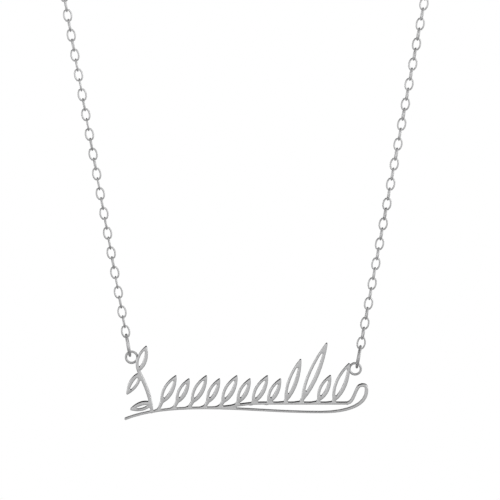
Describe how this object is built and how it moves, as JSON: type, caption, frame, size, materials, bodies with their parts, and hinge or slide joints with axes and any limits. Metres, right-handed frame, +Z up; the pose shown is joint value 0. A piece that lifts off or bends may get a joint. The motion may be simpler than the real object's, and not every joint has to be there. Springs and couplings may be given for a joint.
{
  "type": "nameplate necklace",
  "caption": "Silver necklace with an openwork plate of leaves over a curled underline, hung between two cable chains and shown as worn, closed by a spring ring at the nape.",
  "frame": {"origin": "middle of the clasp, where the necklace hangs on the nape", "axes": "+Z up, the front of the plate faces -Y, +X to the right as seen from the front"},
  "size_m": [0.0961, 0.0956, 0.1207],
  "materials": {
    "satin_silver": "sterling silver with a satin front and polished sawn edges",
    "silver_wire": "polished sterling silver wire",
    "silver_chain": "polished sterling silver cable chain, dulled a little by handling"
  },
  "bodies": {
    "root": {"nameplate": "satin_silver", "jump_ring_left": "silver_wire", "jump_ring_right": "silver_wire", "chain_left": "silver_chain", "chain_right": "silver_chain", "clasp": "silver_wire", "end_ring": "silver_wire"}
  },
  "joints": []
}
